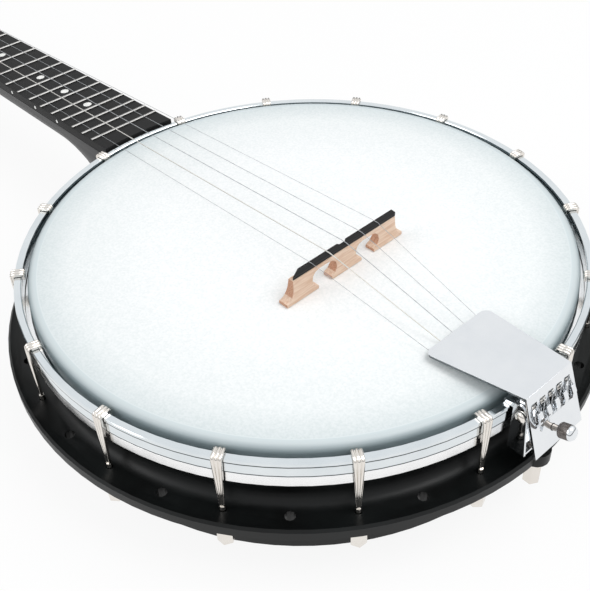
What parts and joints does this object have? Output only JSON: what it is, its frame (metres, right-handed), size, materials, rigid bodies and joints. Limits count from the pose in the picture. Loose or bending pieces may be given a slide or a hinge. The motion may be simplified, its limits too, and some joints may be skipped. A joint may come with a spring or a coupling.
{
  "type": "open-back banjo",
  "caption": "Open-back banjo with resonator-free rim, tensioned head, bridge, adjustable tailpiece, fretted neck and geared tuners.",
  "frame": {"origin": "centre of the bounding box's underside, on the plane that the rim's back rests on", "axes": "+X from the tailpiece to the headstock, +Y towards the fifth string's side, +Z out of the head"},
  "size_m": [0.964, 0.3144, 0.0878],
  "materials": {
    "moulded_black": "satin",
    "head_white": "frosted coated film",
    "chrome": "polished",
    "bright_aluminium": "bright",
    "neck_grey": "dark satin lacquer",
    "board_black": "satin, with nickel frets",
    "bone_white": "satin",
    "maple": "raw",
    "ebony": "satin",
    "string_steel": "drawn wire",
    "button_cream": "gloss"
  },
  "bodies": {
    "banjo": {"rim": "moulded_black", "head": "head_white", "tension_hoop": "chrome", "bracket_hook_01": "chrome", "bracket_hook_02": "chrome", "bracket_hook_03": "chrome", "bracket_hook_04": "chrome", "bracket_hook_05": "chrome", "bracket_hook_06": "chrome", "bracket_hook_07": "chrome", "bracket_hook_08": "chrome", "bracket_hook_09": "chrome", "bracket_hook_10": "chrome", "bracket_hook_11": "chrome", "bracket_hook_12": "chrome", "bracket_hook_13": "chrome", "bracket_hook_14": "chrome", "bracket_hook_15": "chrome", "bracket_hook_16": "chrome", "tailpiece_bracket": "chrome", "tailpiece_pin": "chrome", "tailpiece_bolt": "chrome", "tailpiece_nut": "chrome", "coordinator_rod": "chrome", "rod_nut_neck": "chrome", "rod_nut_tail": "chrome", "rod_nut_outer": "chrome", "tuner_case_1": "chrome", "tuner_case_2": "chrome", "tuner_case_3": "chrome", "tuner_case_4": "chrome", "tuner_case_5": "chrome", "flesh_hoop": "bright_aluminium", "neck": "neck_grey", "fingerboard": "board_black", "nut": "bone_white", "fifth_string_nut": "bone_white", "bridge_base": "maple", "bridge_top": "ebony", "truss_rod_cover": "ebony", "string_1": "string_steel", "string_2": "string_steel", "string_3": "string_steel", "string_4": "string_steel", "string_5": "string_steel"},
    "tail_cover": {"tailpiece_cover": "chrome"},
    "tail_screw": {"tension_screw": "chrome"},
    "tail_knob": {"tension_knob": "chrome"},
    "post_1": {"tuner_post_1": "chrome"},
    "button_1": {"tuner_button_1": "button_cream"},
    "post_2": {"tuner_post_2": "chrome"},
    "button_2": {"tuner_button_2": "button_cream"},
    "post_3": {"tuner_post_3": "chrome"},
    "button_3": {"tuner_button_3": "button_cream"},
    "post_4": {"tuner_post_4": "chrome"},
    "button_4": {"tuner_button_4": "button_cream"},
    "post_5": {"tuner_post_5": "chrome"},
    "button_5": {"tuner_button_5": "button_cream"}
  },
  "joints": [
    {"name": "tailpiece_tilt", "type": "hinge", "parent": "banjo", "child": "tail_cover", "pos_m": [-0.46221, 0, 0.0665], "axis": [0, -1, 0], "range_deg": [0, 2.5]},
    {"name": "screw_travel", "type": "slide", "parent": "tail_cover", "child": "tail_screw", "axis": [-0.9444, 0, 0.3289], "range_m": [0, 0.0005]},
    {"name": "knob_turn", "type": "hinge", "parent": "tail_screw", "child": "tail_knob", "pos_m": [-0.47097, 0.0025, 0.05755], "axis": [-0.9444, 0, 0.3289], "range_deg": [0, 357]},
    {"name": "button_turn_1", "type": "hinge", "parent": "banjo", "child": "button_1", "pos_m": [0.37704, -0.01878, 0.02021], "axis": [0, 1, 0], "continuous": true},
    {"name": "post_turn_1", "type": "hinge", "parent": "banjo", "child": "post_1", "pos_m": [0.37402, -0.01878, 0.03888], "axis": [0.1839, 0, 0.9829], "continuous": true},
    {"name": "button_turn_2", "type": "hinge", "parent": "banjo", "child": "button_2", "pos_m": [0.42618, -0.01878, 0.01101], "axis": [0, 1, 0], "continuous": true},
    {"name": "post_turn_2", "type": "hinge", "parent": "banjo", "child": "post_2", "pos_m": [0.42317, -0.01878, 0.02968], "axis": [0.1839, 0, 0.9829], "continuous": true},
    {"name": "button_turn_3", "type": "hinge", "parent": "banjo", "child": "button_3", "pos_m": [0.42618, 0.01522, 0.01101], "axis": [0, 1, 0], "continuous": true},
    {"name": "post_turn_3", "type": "hinge", "parent": "banjo", "child": "post_3", "pos_m": [0.42317, 0.01522, 0.02968], "axis": [0.1839, 0, 0.9829], "continuous": true},
    {"name": "button_turn_4", "type": "hinge", "parent": "banjo", "child": "button_4", "pos_m": [0.37704, 0.01522, 0.02021], "axis": [0, 1, 0], "continuous": true},
    {"name": "post_turn_4", "type": "hinge", "parent": "banjo", "child": "post_4", "pos_m": [0.37402, 0.01522, 0.03888], "axis": [0.1839, 0, 0.9829], "continuous": true},
    {"name": "button_turn_5", "type": "hinge", "parent": "banjo", "child": "button_5", "pos_m": [0.19056, 0.0133, 0.04448], "axis": [0, 1, 0], "continuous": true},
    {"name": "post_turn_5", "type": "hinge", "parent": "banjo", "child": "post_5", "pos_m": [0.19056, 0.0133, 0.04448], "axis": [0, 1, 0], "continuous": true}
  ],
  "couplings": [
    {"joint": "screw_travel", "follows": "tailpiece_tilt", "m_per_rad": 0.011339},
    {"joint": "knob_turn", "follows": "tailpiece_tilt", "ratio": 142.49},
    {"joint": "post_turn_1", "follows": "button_turn_1", "ratio": -0.071429},
    {"joint": "post_turn_2", "follows": "button_turn_2", "ratio": -0.071429},
    {"joint": "post_turn_3", "follows": "button_turn_3", "ratio": 0.071429},
    {"joint": "post_turn_4", "follows": "button_turn_4", "ratio": 0.071429},
    {"joint": "post_turn_5", "follows": "button_turn_5", "ratio": 0.25}
  ]
}
